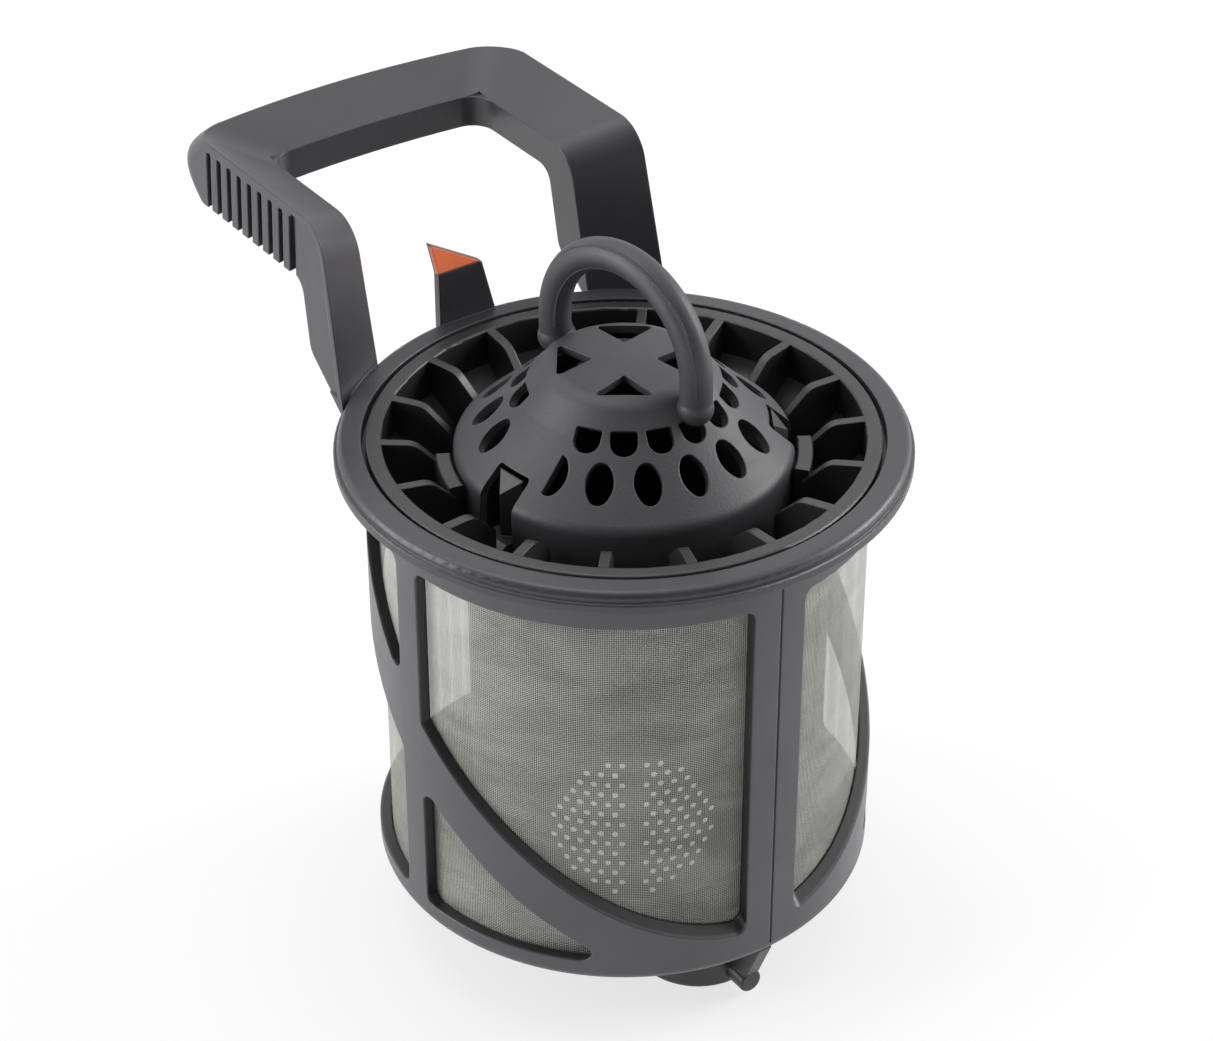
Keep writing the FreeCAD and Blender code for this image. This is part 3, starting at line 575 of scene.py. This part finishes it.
wireLook = {
    "toneFrom": (-0.5, 1.5),    # the weave's tone, from low wires to high ones: painted shade on the low, painted highlight on the high
    "shade": (0.6, 1.25),       # their share of the cloth's colour, as painted shade and highlight
    "lowDull": 0.1,             # low wires are rougher
    "bumpStrength": 0.6,
    "bumpDistance": 0.0001,
}


def makeWireSteel(cloth):
    material, tree, shader = newMaterial(cloth["name"])
    shader.inputs["Metallic"].default_value = cloth["metal"]
    # painted glow, for a sheet that is no lamp
    shader.inputs["Emission Color"].default_value = (*cloth["colour"], 1)
    shader.inputs["Emission Strength"].default_value = cloth["paintedGlow"]
    weave = addNode(tree, "ShaderNodeGroup", (-900, 0), {"node_tree": weaveGroup})
    weave.inputs["Radius"].default_value = cloth["radius"]
    weave.inputs["Pitch"].default_value = cloth["pitch"]
    weave.inputs["Wire"].default_value = cloth["wire"]
    tone = weave.outputs["Tone"]
    # painted shade and highlight: low wires darker, high wires paler
    shade = rangeNode(tree, (-650, 250), tone, wireLook["toneFrom"], wireLook["shade"])
    tintNode(tree, (-400, 250), cloth["colour"], shade, shader)
    rough = (cloth["roughness"] + wireLook["lowDull"], cloth["roughness"])
    roughness = rangeNode(tree, (-400, 0), tone, wireLook["toneFrom"], rough)
    tree.links.new(roughness, shader.inputs["Roughness"])
    if "haze" in cloth:
        cover = rangeNode(tree, (-400, -150), weave.outputs["Cover"], (0, 1), (cloth["haze"], 1))
        tree.links.new(cover, shader.inputs["Alpha"])
    relief = {"Strength": wireLook["bumpStrength"], "Distance": wireLook["bumpDistance"]}
    bump = addNode(tree, "ShaderNodeBump", (-300, -300), {}, relief)
    tree.links.new(weave.outputs["Height"], bump.inputs["Height"])
    tree.links.new(bump.outputs["Normal"], shader.inputs["Normal"])
    return material


wireCloth = {
    "name": "wireSteel",
    "radius": 0.04698,
    "pitch": 0.00042,
    "wire": 0.24,
    "colour": (0.5, 0.5, 0.47),
    "roughness": 0.42,
    "metal": 0.5,
    "paintedGlow": 0.0,
    "haze": 0.25,           # finer wires in the pores, which the weave doesn't draw
    "segments": 192,
}


# the sleeve that is moulded into the cage, as one sheet
def makeWireCloth():
    low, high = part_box("mesh_sleeve")
    shape = bmesh.new()
    bmesh.ops.create_circle(shape, cap_ends=False, segments=wireCloth["segments"],
                            radius=wireCloth["radius"], matrix=Matrix.Translation((0, 0, low.z)))
    grown = bmesh.ops.extrude_edge_only(shape, edges=shape.edges[:])
    rim = [part for part in grown["geom"] if isinstance(part, bmesh.types.BMVert)]
    bmesh.ops.translate(shape, verts=rim, vec=(0, 0, high.z - low.z))
    piece = addFilterPiece("wireCloth", shape, makeWireSteel(wireCloth), "housing")
    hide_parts("mesh_sleeve")


makeWireCloth()
print("wire cloth made")


cupPaintedLight = {
    "name": "gauzeSteel",
    "radius": 0.03034,
    "pitch": 0.00035,
    "wire": 0.6,
    "colour": (0.88, 0.88, 0.86),
    "roughness": 0.4,
    "metal": 0.0,
    "paintedGlow": 0.3,            # painted glow that stands in for daylight through the cup's holes
    "azimuth": -121.3,      # middle of the drilled patch
    "halfSpread": 34.0,     # degrees to each side
    "low": -0.0853,
    "high": -0.0515,
    "segments": 24,
}


# painted light: a bright, glowing gauze sheet inside the cup's wall, seen through the drilled patch
def makeCupPaintedLight():
    start = math.radians(cupPaintedLight["azimuth"] - cupPaintedLight["halfSpread"])
    x = cupPaintedLight["radius"] * math.cos(start)
    y = cupPaintedLight["radius"] * math.sin(start)
    shape = spinLine((x, y, cupPaintedLight["low"]), (x, y, cupPaintedLight["high"]), cupPaintedLight["segments"],
                     2 * cupPaintedLight["halfSpread"])
    addFilterPiece("cupPaintedLight", shape, makeWireSteel(cupPaintedLight), "insert")


makeCupPaintedLight()
print("cup gauze made")


bayWeb = {
    "outerRadius": 0.0458,
    "outerZ": -0.0036,
    "innerRadius": 0.0359,
    "innerZ": -0.0132,
    "wall": 0.0008,
    "segments": 96,
}


# sloping web under the ribs: the bays are closed and dark
def makeBayWeb():
    outer = (bayWeb["outerRadius"], 0, bayWeb["outerZ"])
    inner = (bayWeb["innerRadius"], 0, bayWeb["innerZ"])
    shape = spinLine(outer, inner, bayWeb["segments"], 360)
    bmesh.ops.recalc_face_normals(shape, faces=shape.faces[:])
    bmesh.ops.solidify(shape, geom=shape.faces[:], thickness=bayWeb["wall"])
    insertPlastic = bpy.data.materials[plastics["rib_ring"]["name"]]
    addFilterPiece("bayWeb", shape, insertPlastic, "insert")


makeBayWeb()
print("bay web made")
